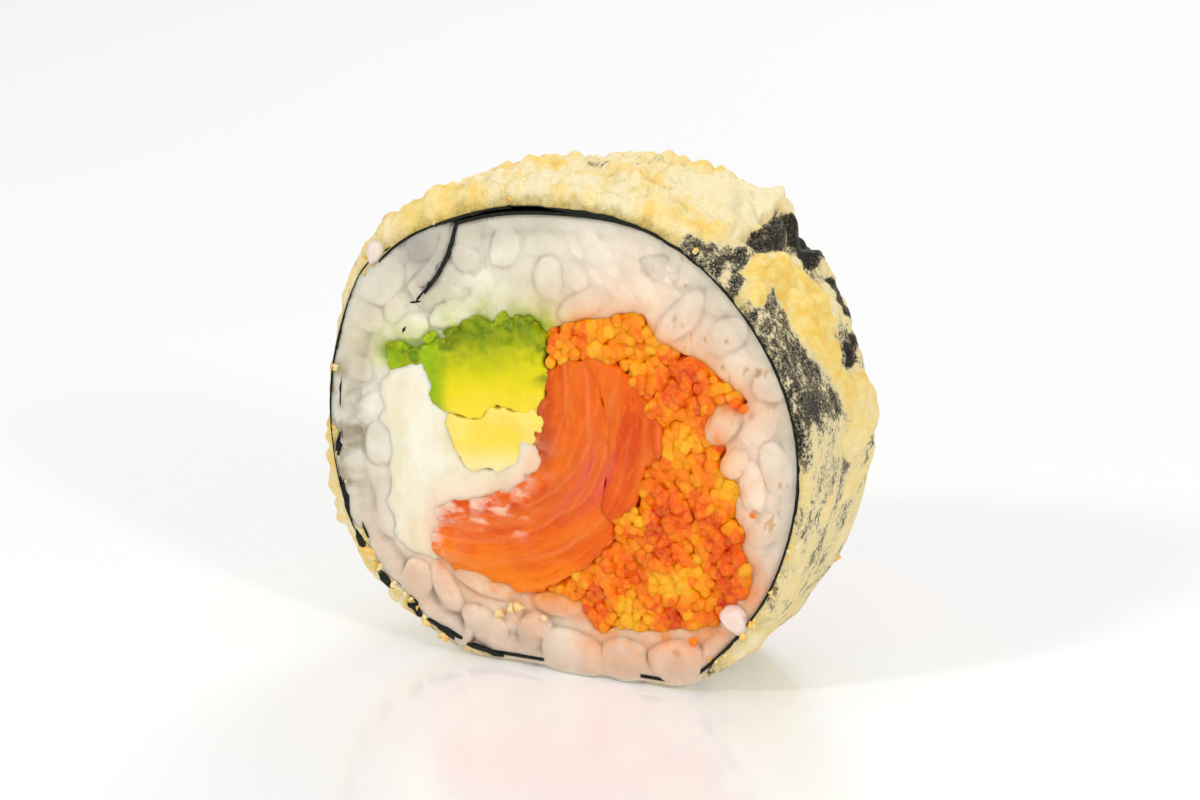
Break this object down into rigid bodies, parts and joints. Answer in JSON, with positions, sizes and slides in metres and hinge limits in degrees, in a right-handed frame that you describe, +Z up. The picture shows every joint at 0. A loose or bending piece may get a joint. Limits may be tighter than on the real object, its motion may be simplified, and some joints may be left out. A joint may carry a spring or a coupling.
{
  "type": "fried sushi roll slice",
  "caption": "Slice of a battered and fried sushi roll, standing on its rounded side, with nori, rice, salmon, avocado, cream cheese and fish roe at the cut.",
  "frame": {"origin": "on the surface the slice rests on, under the middle of its box", "axes": "+Z up; Y along the roll's axis, with the cut face that the picture shows at -Y; X across the cut face"},
  "size_m": [0.0561, 0.018, 0.0514],
  "materials": {
    "fried_batter": "dry, crisp and uneven, cream to golden",
    "nori": "thin dark green-black sheet, satin",
    "rice": "moist translucent grains, satin",
    "cream_cheese": "smooth, soft and matte",
    "avocado": "buttery, green at the skin side to yellow",
    "salmon": "wet and translucent, with pale fat lines",
    "fish_roe": "wet glossy beads"
  },
  "bodies": {
    "root": {"batter_crust": "fried_batter", "nori_sheet": "nori", "rice": "rice", "cream_cheese": "cream_cheese", "avocado_upper": "avocado", "avocado_lower": "avocado", "salmon_inner": "salmon", "salmon_outer": "salmon", "fish_roe": "fish_roe"}
  },
  "joints": []
}
